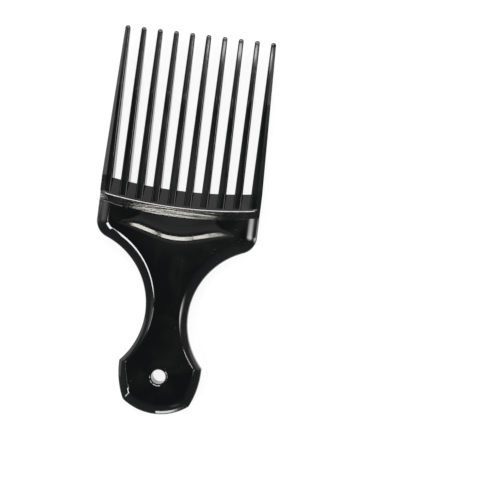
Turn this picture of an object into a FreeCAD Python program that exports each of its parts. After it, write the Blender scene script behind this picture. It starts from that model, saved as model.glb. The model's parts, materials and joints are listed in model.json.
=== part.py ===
import FreeCAD, Part
import math
import os

import Sketcher

# Afro pick of glossy moulded plastic: a flared handle with a hanging hole, a bowed tooth bar
# seated on the handle's head, and ten tapered teeth that stand in notches across the bar.
# The pick lies on its back: X across the head, Y along the teeth towards their tips, Z up out
# of the front face. Every piece is drawn from the centre of the hanging hole at mid thickness.

SIZES = {
    # Whole pick
    "head_width": 57.0,
    "body_thickness": 8.4,
    "edge_thickness": 2.4,
    "cut_overrun": 2.0,
    # Handle outline, from the foot up to the seam under the tooth bar
    "hole_to_foot": 13.5,
    "foot_radius": 19.3,
    "foot_width": 23.6,
    "flank_radius": 30.0,
    "end_width": 29.3,
    "hole_to_corner": 4.1,
    "neck_width": 15.2,
    "scallop_radius": 26.4,
    "shoulder_radius": 6.4,
    "hole_to_seam": 56.3,
    "seam_radius": 122.0,
    # Sloping rim between the handle's edge and its raised face
    "rim_foot": 4.2,
    "rim_foot_corner": 2.6,
    "rim_end_corner": 2.7,
    "rim_corner_rise": 1.5,
    "rim_neck": 1.6,
    "rim_flare": 2.5,
    "rim_side": 4.6,
    "rim_tooth": 2.4,
    "face_shoulder_radius": 2.5,
    "crest_round": 0.8,
    # Shallow dish in the head, below the tooth bar
    "dish_radius": 33.5,
    "dish_height": 7.1,
    "dish_depth": 1.0,
    "dish_cove_radius": 5.0,
    # Hanging hole
    "hole_diameter": 5.0,
    "hole_round": 0.9,
    # Tongue of the tooth bar and its slot in the handle
    "tongue_width": 40.0,
    "tongue_thickness": 3.0,
    "tongue_depth": 6.0,
    "tongue_clearance": 0.1,
    # Tooth bar: leaning front band and the roof that rises to a ridge between the teeth
    "band_height": 4.2,
    "band_radius": 174.0,
    "band_set_back": 0.45,
    "band_land": 0.3,
    "seam_chamfer": 0.35,
    "ridge_rise": 5.4,
    # Teeth
    "outer_tooth_inset": 2.49,
    "tooth_width": 2.85,
    "tooth_depth": 6.7,
    "tooth_length": 56.2,
    "tooth_round": 0.7,
    "tip_width": 1.8,
    "tip_depth": 2.1,
    "tip_corner": 0.7,
    "tip_wall": 0.9,
    "tip_dome": 1.0,
}
TEETH_PER_SIDE = 5
# Rise and width of the domed tip's sections, from where the taper ends to the very tip
DOME_SHARES = ((0.0, 1.0), (0.45, 0.9), (0.8, 0.62), (1.0, 0.25))

# Places along the pick, measured from the hanging hole
SEAM = "Sizes.hole_to_seam"
BAND_TOP = f"({SEAM} + Sizes.band_height)"
RIDGE = f"({BAND_TOP} + Sizes.ridge_rise)"
TIP = f"({RIDGE} + Sizes.tooth_length)"
FACE = "(Sizes.body_thickness / 2)"
EDGE = "(Sizes.edge_thickness / 2)"
BAND_FACE = f"({FACE} - Sizes.band_set_back)"
HALF_HEAD = "(Sizes.head_width / 2)"
TOOTH_FACE = "(Sizes.tooth_depth / 2)"
# The teeth are spread evenly across the head, whatever its width
TOOTH_PITCH = f"((Sizes.head_width - 2 * Sizes.outer_tooth_inset) / (2 * {TEETH_PER_SIDE} - 1))"
# How far up the sloping rim or the roof a given height above mid thickness lies
RIM_RUN_SHARE = f"(({{height}} - {EDGE}) / ({FACE} - {EDGE}))"
FLOOR_LIFT = f"(Sizes.ridge_rise * ({BAND_FACE} - {TOOTH_FACE}) / ({BAND_FACE} - {EDGE}))"

START, END, CENTRE = range(1, 4)
Y_AXIS, X_AXIS = range(-2, 0)
ORIGIN = (X_AXIS, START)
UP = FreeCAD.Vector(0, 0, 1)

doc = FreeCAD.newDocument("afro_pick")
sheet = doc.addObject("Spreadsheet::Sheet", "Sizes")
for row, (alias, value) in enumerate(SIZES.items(), start=1):
    sheet.set(f"A{row}", alias)
    sheet.set(f"B{row}", str(value))
    sheet.setAlias(f"B{row}", alias)
doc.recompute()


def measure(expression):
    """Value of an expression written in the sheet's sizes."""
    return float(sheet.evalExpression(expression))


def point(x, y):
    return FreeCAD.Vector(x, y, 0)


def arc(centre, radius, start, end):
    """Arc that runs anticlockwise about its centre from one point to another."""
    angles = [math.atan2(p.y - centre.y, p.x - centre.x) for p in (start, end)]
    return Part.ArcOfCircle(Part.Circle(centre, UP, radius), *angles)


def new_body(label, turned=False):
    """Empty body in the pick's own frame; turned ones face the other way, for the left side."""
    body = doc.addObject("PartDesign::Body", label)
    body.Label = label
    if turned:
        body.Placement = FreeCAD.Placement(point(0, 0), FreeCAD.Rotation(FreeCAD.Vector(0, 1, 0), 180))
    body.setExpression("Placement.Base.y", f"(Sizes.hole_to_foot - {TIP}) / 2")
    body.setExpression("Placement.Base.z", FACE)
    return body


def origin_plane(body, role):
    return next(plane for plane in body.Origin.OriginFeatures if plane.Role == role)


def new_sketch(body, name, role="XY_Plane", lift="0", shift="0"):
    """Sketch on one of the body's own planes, lifted along its normal and shifted along its X."""
    sketch = body.newObject("Sketcher::SketchObject", name)
    sketch.AttachmentSupport = [(origin_plane(body, role), "")]
    sketch.MapMode = "FlatFace"
    sketch.setExpression("AttachmentOffset.Base.z", lift)
    sketch.setExpression("AttachmentOffset.Base.x", shift)
    return sketch


def size(sketch, kind, *where):
    """Adds a dimension whose last argument is an expression and binds it to the sheet."""
    *where, expression = where
    index = sketch.addConstraint(Sketcher.Constraint(kind, *where, measure(expression)))
    sketch.setExpression(f"Constraints[{index}]", expression)


def hold(sketch, edge, end, across=None, along=None):
    """Ties one point of an edge to its distances from the sketch's origin."""
    for kind, axis, place in (("DistanceX", Y_AXIS, across), ("DistanceY", X_AXIS, along)):
        if place == "0":
            sketch.addConstraint(Sketcher.Constraint("PointOnObject", edge, end, axis))
        elif place is not None:
            size(sketch, kind, *ORIGIN, edge, end, place)


def relate(sketch, *constraints):
    for constraint in constraints:
        sketch.addConstraint(Sketcher.Constraint(*constraint))


def rectangle(sketch, left, right, low, high):
    """Adds an upright rectangle between four places."""
    first = sketch.GeometryCount
    x0, x1, y0, y1 = (measure(place) for place in (left, right, low, high))
    corners = [point(x0, y0), point(x1, y0), point(x1, y1), point(x0, y1)]
    for start, end in zip(corners, corners[1:] + corners[:1]):
        sketch.addGeometry(Part.LineSegment(start, end), False)
    for edge in range(4):
        relate(sketch, ("Coincident", first + edge, END, first + (edge + 1) % 4, START))
        relate(sketch, ("Vertical" if edge % 2 else "Horizontal", first + edge))
    hold(sketch, first, START, left, low)
    hold(sketch, first + 2, START, right, high)


def loft(body, name, sections):
    """Straight-sided solid through a row of sections."""
    feature = body.newObject("PartDesign::AdditiveLoft", name)
    feature.Profile = sections[0]
    feature.Sections = sections[1:]
    feature.Ruled = True
    return feature


def mirror(body, name, role):
    """Reflects everything made so far across one of the body's planes."""
    feature = body.newObject("PartDesign::Mirrored", name)
    feature.TransformMode = "Whole shape"
    feature.MirrorPlane = (origin_plane(body, role), [""])
    body.Tip = feature
    doc.recompute()
    return feature


def cut_both_ways(body, name, sketch, depth):
    """Pocket of a given depth, half of it on each side of the sketch."""
    before = body.Shape.Volume
    feature = body.newObject("PartDesign::Pocket", name)
    feature.Profile = sketch
    feature.SideType = "Symmetric"
    feature.setExpression("Length", depth)
    doc.recompute()
    if not body.Shape.Volume < before:
        raise RuntimeError(f"{name} cuts nothing")
    return feature


def round_edges(body, name, wanted, radius):
    """Rounds the edges of the body's last feature that pass a test."""
    base = body.Tip
    names = [f"Edge{i}" for i, edge in enumerate(base.Shape.Edges, start=1) if wanted(edge)]
    if not names:
        raise RuntimeError(f"{name} finds no edge")
    feature = body.newObject("PartDesign::Fillet", name)
    feature.Base = (base, names)
    feature.setExpression("Radius", radius)
    doc.recompute()
    return feature


def handle_outline(sketch, foot, foot_radius, foot_corner, end_corner, end_height, neck,
                   scallop_radius, shoulder_radius, side):
    """Right half of the handle: foot arc, flank, neck scallop, shoulder, side, seam, middle."""
    flank_radius = "Sizes.flank_radius"
    foot_y, r_foot, x1, x2, y2 = (
        measure(e) for e in (foot, foot_radius, foot_corner, end_corner, end_height))
    r_flank, x_neck, r_scallop, r_shoulder = (
        measure(e) for e in (flank_radius, neck, scallop_radius, shoulder_radius))
    x_side, seam, r_seam = (measure(e) for e in (side, SEAM, "Sizes.seam_radius"))

    foot_centre = point(0, r_foot - foot_y)
    foot_low = point(0, -foot_y)
    foot_end = point(x1, foot_centre.y - math.sqrt(r_foot**2 - x1**2))
    flank_end = point(x2, y2)
    chord = flank_end - foot_end
    inward = point(-chord.y, chord.x) / chord.Length
    flank_centre = (foot_end + flank_end) / 2 + inward * math.sqrt(r_flank**2 - (chord.Length / 2)**2)
    scallop_centre = point(x_neck + r_scallop, 0)
    scallop_centre.y = y2 + math.sqrt(r_scallop**2 - (scallop_centre.x - x2)**2)
    shoulder_centre = point(x_side - r_shoulder, 0)
    reach = r_scallop + r_shoulder
    shoulder_centre.y = scallop_centre.y + math.sqrt(reach**2 - (scallop_centre.x - shoulder_centre.x)**2)
    shoulder_low = scallop_centre + (shoulder_centre - scallop_centre) * (r_scallop / reach)
    shoulder_high = point(x_side, shoulder_centre.y)
    seam_centre = point(0, seam + r_seam)
    seam_mid = point(0, seam)
    seam_end = point(x_side, seam_centre.y - math.sqrt(r_seam**2 - x_side**2))

    foot_arc, flank, scallop, shoulder, side_line, seam_arc, middle = range(7)
    sketch.addGeometry([
        arc(foot_centre, r_foot, foot_low, foot_end),
        arc(flank_centre, r_flank, foot_end, flank_end),
        arc(scallop_centre, r_scallop, shoulder_low, flank_end),
        arc(shoulder_centre, r_shoulder, shoulder_low, shoulder_high),
        Part.LineSegment(shoulder_high, seam_end),
        arc(seam_centre, r_seam, seam_mid, seam_end),
        Part.LineSegment(seam_mid, foot_low),
    ], False)
    relate(
        sketch,
        ("Coincident", foot_arc, END, flank, START),
        ("Coincident", flank, END, scallop, END),
        ("Tangent", scallop, START, shoulder, START),
        ("Tangent", shoulder, END, side_line, START),
        ("Coincident", side_line, END, seam_arc, END),
        ("Coincident", seam_arc, START, middle, START),
        ("Coincident", middle, END, foot_arc, START),
        ("Vertical", side_line),
    )
    hold(sketch, foot_arc, START, "0", f"-({foot})")
    hold(sketch, foot_arc, CENTRE, "0")
    hold(sketch, foot_arc, END, foot_corner)
    hold(sketch, flank, END, end_corner, end_height)
    hold(sketch, scallop, CENTRE, f"{neck} + {scallop_radius}")
    hold(sketch, side_line, END, side)
    hold(sketch, seam_arc, CENTRE, "0")
    hold(sketch, seam_arc, START, "0", SEAM)
    for edge, radius in ((foot_arc, foot_radius), (flank, flank_radius), (scallop, scallop_radius),
                         (shoulder, shoulder_radius), (seam_arc, "Sizes.seam_radius")):
        size(sketch, "Radius", edge, radius)


def edge_outline(sketch):
    """Handle's outermost outline, at its edge."""
    handle_outline(
        sketch,
        foot="Sizes.hole_to_foot",
        foot_radius="Sizes.foot_radius",
        foot_corner="Sizes.foot_width / 2",
        end_corner="Sizes.end_width / 2",
        end_height="Sizes.hole_to_corner",
        neck="Sizes.neck_width / 2",
        scallop_radius="Sizes.scallop_radius",
        shoulder_radius="Sizes.shoulder_radius",
        side=HALF_HEAD,
    )


def face_outline(sketch):
    """Outline of the handle's raised face, inside the sloping rim."""
    handle_outline(
        sketch,
        foot="Sizes.hole_to_foot - Sizes.rim_foot",
        foot_radius="Sizes.foot_radius - Sizes.rim_foot",
        foot_corner="Sizes.foot_width / 2 - Sizes.rim_foot_corner",
        end_corner="Sizes.end_width / 2 - Sizes.rim_end_corner",
        end_height="Sizes.hole_to_corner + Sizes.rim_corner_rise",
        neck="Sizes.neck_width / 2 - Sizes.rim_neck",
        scallop_radius="Sizes.scallop_radius + Sizes.rim_flare",
        shoulder_radius="Sizes.face_shoulder_radius",
        side=f"{HALF_HEAD} - Sizes.rim_side",
    )


def dish_profile(sketch):
    """Half section of the dish: flat floor and a cove that climbs to the raised face."""
    floor = f"{FACE} - Sizes.dish_depth"
    depth, radius, cove, face = (measure(e) for e in (
        "Sizes.dish_depth", "Sizes.dish_radius", "Sizes.dish_cove_radius", FACE))
    top = face + measure("Sizes.cut_overrun")
    cove_start = point(math.sqrt(2 * cove * depth - depth**2) - radius, face - depth)
    lip = point(-radius, face)
    floor_line, cove_arc, outer, cover, axis = range(5)
    sketch.addGeometry([
        Part.LineSegment(point(0, face - depth), cove_start),
        arc(cove_start + point(0, cove), cove, lip, cove_start),
        Part.LineSegment(lip, point(-radius, top)),
        Part.LineSegment(point(-radius, top), point(0, top)),
        Part.LineSegment(point(0, top), point(0, face - depth)),
    ], False)
    relate(
        sketch,
        ("Tangent", floor_line, END, cove_arc, END),
        ("Coincident", cove_arc, START, outer, START),
        ("Coincident", outer, END, cover, START),
        ("Coincident", cover, END, axis, START),
        ("Coincident", axis, END, floor_line, START),
        ("Horizontal", floor_line),
        ("Vertical", outer),
        ("Horizontal", cover),
    )
    hold(sketch, axis, START, "0")
    hold(sketch, axis, END, "0", floor)
    hold(sketch, cove_arc, START, "-Sizes.dish_radius", FACE)
    hold(sketch, outer, END, None, f"{FACE} + Sizes.cut_overrun")
    size(sketch, "Radius", cove_arc, "Sizes.dish_cove_radius")


def make_handle():
    """Flared handle: raised face, sloping rim, dished head, hanging hole and tongue slot."""
    body = new_body("handle")
    sections = []
    for name, lift, outline in (("mid_outline", "0", edge_outline), ("edge_outline", EDGE, edge_outline),
                                ("face_outline", FACE, face_outline)):
        section = new_sketch(body, name, lift=lift)
        outline(section)
        sections.append(section)
    doc.recompute()
    loft(body, "rim_loft", sections)
    doc.recompute()

    before = body.Shape.Volume
    profile = new_sketch(body, "dish_profile", "YZ_Plane",
                         shift=f"{SEAM} - Sizes.dish_height + Sizes.dish_radius")
    dish_profile(profile)
    dish = body.newObject("PartDesign::Groove", "dish")
    dish.Profile = profile
    dish.ReferenceAxis = (profile, ["V_Axis"])
    dish.Angle = 360
    doc.recompute()
    if not body.Shape.Volume < before:
        raise RuntimeError("dish cuts nothing")

    mirror(body, "back_half", "XY_Plane")
    mirror(body, "left_half", "YZ_Plane")

    slot = new_sketch(body, "slot_outline")
    half_slot = "(Sizes.tongue_width / 2 + Sizes.tongue_clearance)"
    rectangle(slot, f"-{half_slot}", half_slot,
              f"{SEAM} - Sizes.tongue_depth - Sizes.tongue_clearance", BAND_TOP)
    cut_both_ways(body, "tongue_slot", slot, "Sizes.tongue_thickness + 2 * Sizes.tongue_clearance")

    circle = new_sketch(body, "hole_outline")
    circle.addGeometry(Part.Circle(point(0, 0), UP, measure("Sizes.hole_diameter / 2")), False)
    relate(circle, ("Coincident", 0, CENTRE, *ORIGIN))
    size(circle, "Diameter", 0, "Sizes.hole_diameter")
    cut_both_ways(body, "hanging_hole", circle, "Sizes.body_thickness + Sizes.cut_overrun")
    face = measure(FACE)
    hole_radius = measure("Sizes.hole_diameter / 2")
    lip_radius = measure("Sizes.dish_radius")
    close = hole_radius / 1000

    def on_face(edge):
        return all(abs(abs(vertex.Z) - face) < close for vertex in edge.Vertexes)

    def is_circle(edge, radius):
        return isinstance(edge.Curve, Part.Circle) and abs(edge.Curve.Radius - radius) < close

    def is_hole_rim(edge):
        return on_face(edge) and is_circle(edge, hole_radius) and abs(edge.Curve.Center.x) < close

    def is_rim_crest(edge):
        below_seam = min(vertex.Y for vertex in edge.Vertexes) < measure(SEAM)
        across_middle = all(abs(vertex.X) < close for vertex in edge.Vertexes)
        on_dish_lip = is_circle(edge, lip_radius)
        return on_face(edge) and below_seam and not (across_middle or on_dish_lip or is_hole_rim(edge))

    round_edges(body, "hole_rims", is_hole_rim, "Sizes.hole_round")
    round_edges(body, "rim_crests", is_rim_crest, "Sizes.crest_round")
    return body


def bar_outline(sketch, lift, side_low, side_high, top, top_radius):
    """Right half of the tooth bar seen from the front, between the seam and an arc above it."""
    low_y, seam_radius = f"{SEAM} + {lift}", f"Sizes.seam_radius - {lift}"
    y0, r0, x0, x1, y1, r1 = (measure(e) for e in (low_y, seam_radius, side_low, side_high, top, top_radius))
    low_centre, high_centre = point(0, y0 + r0), point(0, y1 + r1)
    low_end = point(x0, low_centre.y - math.sqrt(r0**2 - x0**2))
    high_end = point(x1, high_centre.y - math.sqrt(r1**2 - x1**2))
    low_arc, side_line, high_arc, middle = range(4)
    sketch.addGeometry([
        arc(low_centre, r0, point(0, y0), low_end),
        Part.LineSegment(low_end, high_end),
        arc(high_centre, r1, point(0, y1), high_end),
        Part.LineSegment(point(0, y1), point(0, y0)),
    ], False)
    relate(
        sketch,
        ("Coincident", low_arc, END, side_line, START),
        ("Coincident", side_line, END, high_arc, END),
        ("Coincident", high_arc, START, middle, START),
        ("Coincident", middle, END, low_arc, START),
    )
    hold(sketch, low_arc, CENTRE, "0")
    hold(sketch, low_arc, START, "0", low_y)
    hold(sketch, low_arc, END, side_low)
    hold(sketch, high_arc, CENTRE, "0")
    hold(sketch, high_arc, START, "0", top)
    hold(sketch, high_arc, END, side_high)
    size(sketch, "Radius", low_arc, seam_radius)
    size(sketch, "Radius", high_arc, top_radius)


def tooth_place(step):
    """Distance of a tooth's centre line from the middle of the head."""
    return f"({TOOTH_PITCH} * (2 * {step} - 1) / 2)"


def on_band_top(x):
    """Height of the band's bowed top edge at a distance from the middle."""
    return f"({BAND_TOP} + Sizes.band_radius - sqrt(Sizes.band_radius^2 - ({x})^2))"


def on_ridge(x):
    """Height of the roof's bowed ridge at a distance from the middle."""
    return f"({BAND_TOP} + Sizes.band_radius - sqrt((Sizes.band_radius - Sizes.ridge_rise)^2 - ({x})^2))"


def tooth_floor(x):
    """Height at which a tooth's root sits: where the roof is as deep as the tooth."""
    return f"({on_band_top(x)} + {FLOOR_LIFT})"


def make_tooth_bar():
    """Bowed bar: leaning band, roof with a notch for each tooth, and a tongue for the handle."""
    body = new_body("tooth_bar")
    band_share = RIM_RUN_SHARE.format(height=BAND_FACE)
    ridge_radius = "Sizes.band_radius - Sizes.ridge_rise"
    land_top = f"{SEAM} + Sizes.seam_chamfer + Sizes.band_land"
    land_radius = "Sizes.seam_radius - Sizes.seam_chamfer - Sizes.band_land"
    face_side = f"{HALF_HEAD} - Sizes.rim_side"
    sections = []
    for name, height, lift, side_low, side_high, top, top_radius in (
            ("mid_section", "0", "0", HALF_HEAD, HALF_HEAD, RIDGE, ridge_radius),
            ("edge_section", EDGE, "0", HALF_HEAD, HALF_HEAD, RIDGE, ridge_radius),
            ("band_section", BAND_FACE, "0", f"{HALF_HEAD} - Sizes.rim_side * {band_share}",
             f"{HALF_HEAD} - Sizes.rim_tooth * {band_share}", BAND_TOP, "Sizes.band_radius"),
            ("land_section", FACE, "Sizes.seam_chamfer", face_side, face_side, land_top, land_radius)):
        section = new_sketch(body, name, lift=height)
        bar_outline(section, lift, side_low, side_high, top, top_radius)
        sections.append(section)
    doc.recompute()
    loft(body, "band_and_roof", sections)
    doc.recompute()

    notches = new_sketch(body, "notch_outlines")
    clear_above = f"{on_ridge(HALF_HEAD)} + Sizes.cut_overrun"
    for step in range(1, TEETH_PER_SIDE + 1):
        x = tooth_place(step)
        outer = f"{x} + Sizes.tooth_width / 2"
        if step == TEETH_PER_SIDE:
            outer = f"{HALF_HEAD} + Sizes.cut_overrun"
        rectangle(notches, f"{x} - Sizes.tooth_width / 2", outer, tooth_floor(x), clear_above)
    cut_both_ways(body, "tooth_notches", notches, "Sizes.body_thickness + Sizes.cut_overrun")
    mirror(body, "back_half", "XY_Plane")
    mirror(body, "left_half", "YZ_Plane")

    outline = new_sketch(body, "tongue_outline")
    rectangle(outline, "-Sizes.tongue_width / 2", "Sizes.tongue_width / 2",
              f"{SEAM} - Sizes.tongue_depth", BAND_TOP)
    tongue = body.newObject("PartDesign::Pad", "tongue")
    tongue.Profile = outline
    tongue.SideType = "Symmetric"
    tongue.setExpression("Length", "Sizes.tongue_thickness")
    doc.recompute()
    return body


def inner_section(sketch, centre, half_width, half_depth, corner):
    """Rounded oblong section of a tooth, wide across X and deep along Z."""
    x, a, b, r = (measure(e) for e in (centre, half_width, half_depth, corner))
    outwards = [point(r, 0), point(0, r), point(-r, 0), point(0, -r)]
    quarters = [(1, 1), (-1, 1), (-1, -1), (1, -1)]
    centres = [point(x + across * (a - r), along * (b - r)) for across, along in quarters]
    for turn in range(4):
        following = (turn + 1) % 4
        start, end = centres[turn] + outwards[turn], centres[turn] + outwards[following]
        sketch.addGeometry(arc(centres[turn], r, start, end), False)
        sketch.addGeometry(Part.LineSegment(end, centres[following] + outwards[following]), False)
    for edge in range(8):
        relate(sketch, ("Tangent", edge, END, (edge + 1) % 8, START))
    top, left, bottom, right = 1, 3, 5, 7
    relate(sketch, ("Horizontal", top), ("Vertical", left), ("Horizontal", bottom), ("Vertical", right))
    for corner_arc in (2, 4, 6):
        relate(sketch, ("Equal", 0, corner_arc))
    size(sketch, "Radius", 0, corner)
    hold(sketch, top, START, None, half_depth)
    hold(sketch, bottom, START, None, f"-({half_depth})")
    hold(sketch, left, START, f"{centre} - {half_width}")
    hold(sketch, right, START, f"{centre} + {half_width}")


def outer_section(sketch, inner_side, shoulder, outer_side, half_depth, half_wall, corner):
    """Section of an outermost tooth: rounded towards its neighbour, sloping to a thin outer wall."""
    x0, x1, x2, b, wall, r = (measure(e) for e in (
        inner_side, shoulder, outer_side, half_depth, half_wall, corner))
    front_arc = arc(point(x0 + r, b - r), r, point(x0 + r, b), point(x0, b - r))
    back_arc = arc(point(x0 + r, r - b), r, point(x0, r - b), point(x0 + r, -b))
    corners = [point(x0 + r, -b), point(x1, -b), point(x2, -wall),
               point(x2, wall), point(x1, b), point(x0 + r, b)]
    back, low_slope, outer, high_slope, front, front_corner, inner, back_corner = range(8)
    for start, end in zip(corners, corners[1:]):
        sketch.addGeometry(Part.LineSegment(start, end), False)
    sketch.addGeometry([
        front_arc,
        Part.LineSegment(point(x0, b - r), point(x0, r - b)),
        back_arc,
    ], False)
    for edge in (back, low_slope, outer, high_slope):
        relate(sketch, ("Coincident", edge, END, edge + 1, START))
    for edge in (front, front_corner, inner, back_corner):
        relate(sketch, ("Tangent", edge, END, (edge + 1) % 8, START))
    relate(sketch, ("Horizontal", front), ("Horizontal", back), ("Vertical", inner),
           ("Equal", front_corner, back_corner))
    size(sketch, "Radius", front_corner, corner)
    hold(sketch, back, END, shoulder, f"-({half_depth})")
    hold(sketch, outer, START, outer_side, f"-({half_wall})")
    hold(sketch, outer, END, outer_side, half_wall)
    hold(sketch, front, START, shoulder, half_depth)
    hold(sketch, inner, START, inner_side)


def make_tooth(label, step, left):
    """Tapered tooth: straight root in its notch, a long taper, and a domed tip."""
    body = new_body(label, turned=left)
    x = tooth_place(step)
    outermost = step == TEETH_PER_SIDE
    sections = []

    def add_section(name, height, half_width, half_depth, corner, shoulder, outer_side, half_wall):
        section = new_sketch(body, name, "XZ_Plane", lift=f"-{height}")
        if outermost:
            outer_section(section, f"{x} - {half_width}", shoulder, outer_side, half_depth, half_wall, corner)
        else:
            inner_section(section, x, half_width, half_depth, corner)
        sections.append(section)

    slope_run = f"Sizes.rim_tooth * {RIM_RUN_SHARE.format(height=TOOTH_FACE)}"
    for name, height in (("root_section", tooth_floor(x)), ("ridge_section", on_ridge(x))):
        add_section(name, height, "(Sizes.tooth_width / 2)", TOOTH_FACE, "Sizes.tooth_round",
                    f"{HALF_HEAD} - {slope_run}", HALF_HEAD, EDGE)
    for number, (rise_share, width_share) in enumerate(DOME_SHARES, start=1):
        height = f"({TIP} - Sizes.tip_dome * (1 - {rise_share}))"
        half_width = f"({width_share} * Sizes.tip_width / 2)"
        corner = f"({width_share} * Sizes.tip_corner)"
        add_section(f"tip_section_{number}", height, half_width, f"({width_share} * Sizes.tip_depth / 2)",
                    corner, f"{x} + {half_width} - {corner}", f"{x} + {half_width}",
                    f"({width_share} * Sizes.tip_wall / 2)")
    doc.recompute()
    loft(body, "taper", sections)
    doc.recompute()
    return body


pieces = [make_handle(), make_tooth_bar()]
for number in range(1, 2 * TEETH_PER_SIDE + 1):
    on_left = number <= TEETH_PER_SIDE
    from_middle = TEETH_PER_SIDE + 1 - number if on_left else number - TEETH_PER_SIDE
    pieces.append(make_tooth(f"tooth_{number:02d}", from_middle, on_left))
doc.recompute()

for feature in doc.Objects:
    if {"Invalid", "Error"} & set(feature.State):
        raise RuntimeError(f"{feature.Label} failed: {feature.State}")
for piece in pieces:
    if piece.Shape.isNull() or not piece.Shape.isValid() or len(piece.Shape.Solids) != 1:
        raise RuntimeError(f"{piece.Label} is not one sound solid")

os.makedirs("parts", exist_ok=True)
for piece in pieces:
    piece.Shape.exportStep(f"parts/{piece.Label}.step")
    box = piece.Shape.optimalBoundingBox()
    print(f"{piece.Label}: {piece.Shape.Volume:.1f} mm3, "
          f"{box.XLength:.2f} x {box.YLength:.2f} x {box.ZLength:.2f} mm")
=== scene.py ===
import json
import math

import bmesh
import bpy
from bpy.props import FloatProperty, FloatVectorProperty, PointerProperty
from mathutils import Matrix, Vector


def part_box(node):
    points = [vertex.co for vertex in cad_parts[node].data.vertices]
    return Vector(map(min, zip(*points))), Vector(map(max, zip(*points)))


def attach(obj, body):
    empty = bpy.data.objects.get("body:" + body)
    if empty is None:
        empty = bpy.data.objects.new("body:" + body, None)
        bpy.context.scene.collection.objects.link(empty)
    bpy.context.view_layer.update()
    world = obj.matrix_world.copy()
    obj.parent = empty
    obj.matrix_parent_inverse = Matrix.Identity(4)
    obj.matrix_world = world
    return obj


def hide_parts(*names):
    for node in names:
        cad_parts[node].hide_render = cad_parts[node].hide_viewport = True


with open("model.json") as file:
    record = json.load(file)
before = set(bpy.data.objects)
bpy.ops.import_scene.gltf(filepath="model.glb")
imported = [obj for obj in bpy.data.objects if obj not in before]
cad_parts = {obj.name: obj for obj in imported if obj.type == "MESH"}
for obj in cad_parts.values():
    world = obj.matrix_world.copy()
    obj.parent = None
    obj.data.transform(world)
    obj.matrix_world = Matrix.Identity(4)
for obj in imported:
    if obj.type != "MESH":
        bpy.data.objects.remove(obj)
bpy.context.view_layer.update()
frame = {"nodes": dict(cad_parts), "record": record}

bl_info = {
    "name": "Afro Pick",
    "version": (1, 0, 0),
    "blender": (4, 5, 0),
    "location": "View3D > Sidebar > Afro Pick",
    "description": "Models a glossy black moulded afro pick piece by piece over its packed solids",
    "category": "Object",
}

MM = 0.001
hole_mount = next(m for m in frame["record"]["mounts"] if m["name"] == "hanging_hole")
HOLE = Vector(hole_mount["pos_m"])
MID = HOLE.z
HANDLE_LOW, HANDLE_HIGH = (Vector(corner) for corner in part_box("handle"))
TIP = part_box("tooth_05")[1][1]
TEETH = [name for name in sorted(frame["nodes"]) if name.startswith("tooth_") and name != "tooth_bar"]

# Distances under which two heights count as one, and under which two points are merged
TOUCH = 1e-7
MERGE = 1e-6
# Parts of a normal: upright for a flat face, and towards the tips for the seam's wall and for the roof
FLAT = 0.98
SEAM_WALL = 0.9
ROOF_LEAST = 0.2
# Turns between faces above which an edge is shaded sharp or gets a small bevel
SHARP_TURN = math.radians(32)
HANDLE_BEVEL_TURN = math.radians(22)
BAR_BEVEL_TURN = math.radians(24)
# Rounded outer edge of the rim: its share of the rim's width, and the turns of its loops
ROLL_WIDTH = 0.12
ROLL_TURNS = (0, 0.4, 0.8, 1.2)
# Loops of the rim above that edge: share of the rim's width, and share of the rise left
SWELL = ((0.12, 0.0), (0.3, 0.28), (0.5, 0.55), (0.75, 0.81), (1.0, 1.0))
# How far cutters reach past the handle, and the share of the dish's slope that its lip rolls back
OVERRUN = 3 * MM
LIP_SHARE = 0.92
# Scale of the dish's last sections, where it fades out to each side
DISH_FADES = (0.85, 0.7, 0.45)
TONGUE_CLEARANCE = 0.1 * MM
# Inset of the bar's front face, as shares of the rim at the head's side and at the teeth
BAR_SIDE_INSET = 0.93
BAR_TOOTH_INSET = 0.85
# How far the lean sets back the band's top edge, from which the teeth's roots are reckoned
BAND_SET_BACK = 0.45 * MM
# Largest rounding of a tooth's long edges, as a share of its width
TOOTH_ROUND_LIMIT = 0.26
# Places of the loops that keep a tooth's straight runs flat, and the number of the loop at its bend
NEAR_ENDS = (0.04, 0.96)
BEND_LOOP = 4
# Outer corner of an outermost tooth at its tip, as a share of the tip's width
TIP_CORNER = 0.45

# Refraction of the plastic, height of its ripple and depth of its scratches
PLASTIC_IOR = 1.54
RIPPLE_HEIGHT = 0.05 * MM
SCRATCH_DEPTH = 0.01 * MM
# Stretch of the ripple across the bar and along the teeth
BAR_STRETCH = (0.08, 2.4, 0.5)
TOOTH_STRETCH = (1.0, 0.25, 1.0)
# Three sets of hairline scratches: turn, closeness and place, then their length and their rarity
HAIRLINES = ((0.5, 900.0, 0.0), (-0.9, 1200.0, 3.0), (1.9, 700.0, 7.0))
HAIR_STRETCH = 26.0
HAIR_RARITY = 0.77

# Name, azimuth and angle off the vertical in degrees, distance, width, height, radiance and tint
LAMPS = (
    ("key_lamp", 90, 13.456, 6.169, 0.57, 0.05, 28.0, (1.0, 0.985, 0.9)),
    ("tip_lamp", 90, 20.64, 6.412, 0.47, 0.1, 14.0, (1.0, 1.0, 1.0)),
    ("top_strip", 90, 35, 1.2, 0.9, 0.2, 20.0, (1.0, 1.0, 0.98)),
    ("left_window", 214, 42, 1.2, 0.5, 0.32, 20.0, (0.96, 0.98, 1.0)),
    ("left_dash", 184.5, 40, 1.2, 0.15, 0.14, 8.0, (1.0, 1.0, 0.96)),
    ("low_left", 222, 65, 0.08, 0.0085, 0.034, 12.0, (1.0, 1.0, 1.0)),
    ("left_spark", 178.2, 81, 0.06, 0.006, 0.016, 9.0, (1.0, 1.0, 1.0)),
    ("front_strip", 282.5, 77.3, 1.2, 0.66, 0.06, 12.0, (1.0, 1.0, 1.0)),
    ("right_back", 30, 36, 1.2, 0.35, 0.16, 18.0, (1.0, 0.99, 0.96)),
)
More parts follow.
